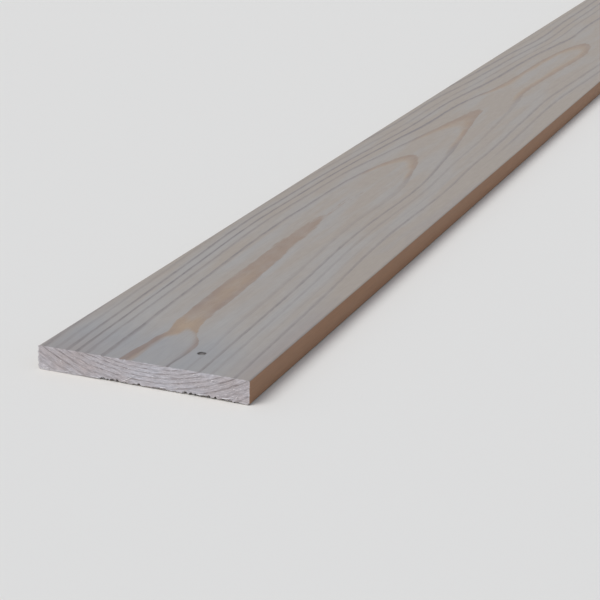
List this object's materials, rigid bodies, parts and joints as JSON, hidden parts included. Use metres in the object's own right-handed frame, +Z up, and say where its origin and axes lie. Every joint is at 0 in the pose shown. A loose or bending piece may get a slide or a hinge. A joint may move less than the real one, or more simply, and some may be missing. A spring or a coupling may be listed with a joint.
{
  "type": "timber plank",
  "caption": "Planed softwood plank, square sawn at both ends, for boarding, shelving and general joinery.",
  "frame": {"origin": "centre of the underside, where the plank rests on the floor", "axes": "+Y along the length, away from the front end, +X across the width, +Z up through the thickness"},
  "size_m": [0.144, 2, 0.016],
  "materials": {
    "softwood": "bare planed softwood, sawn ends, no coating"
  },
  "bodies": {
    "root": {"plank": "softwood"}
  },
  "joints": []
}
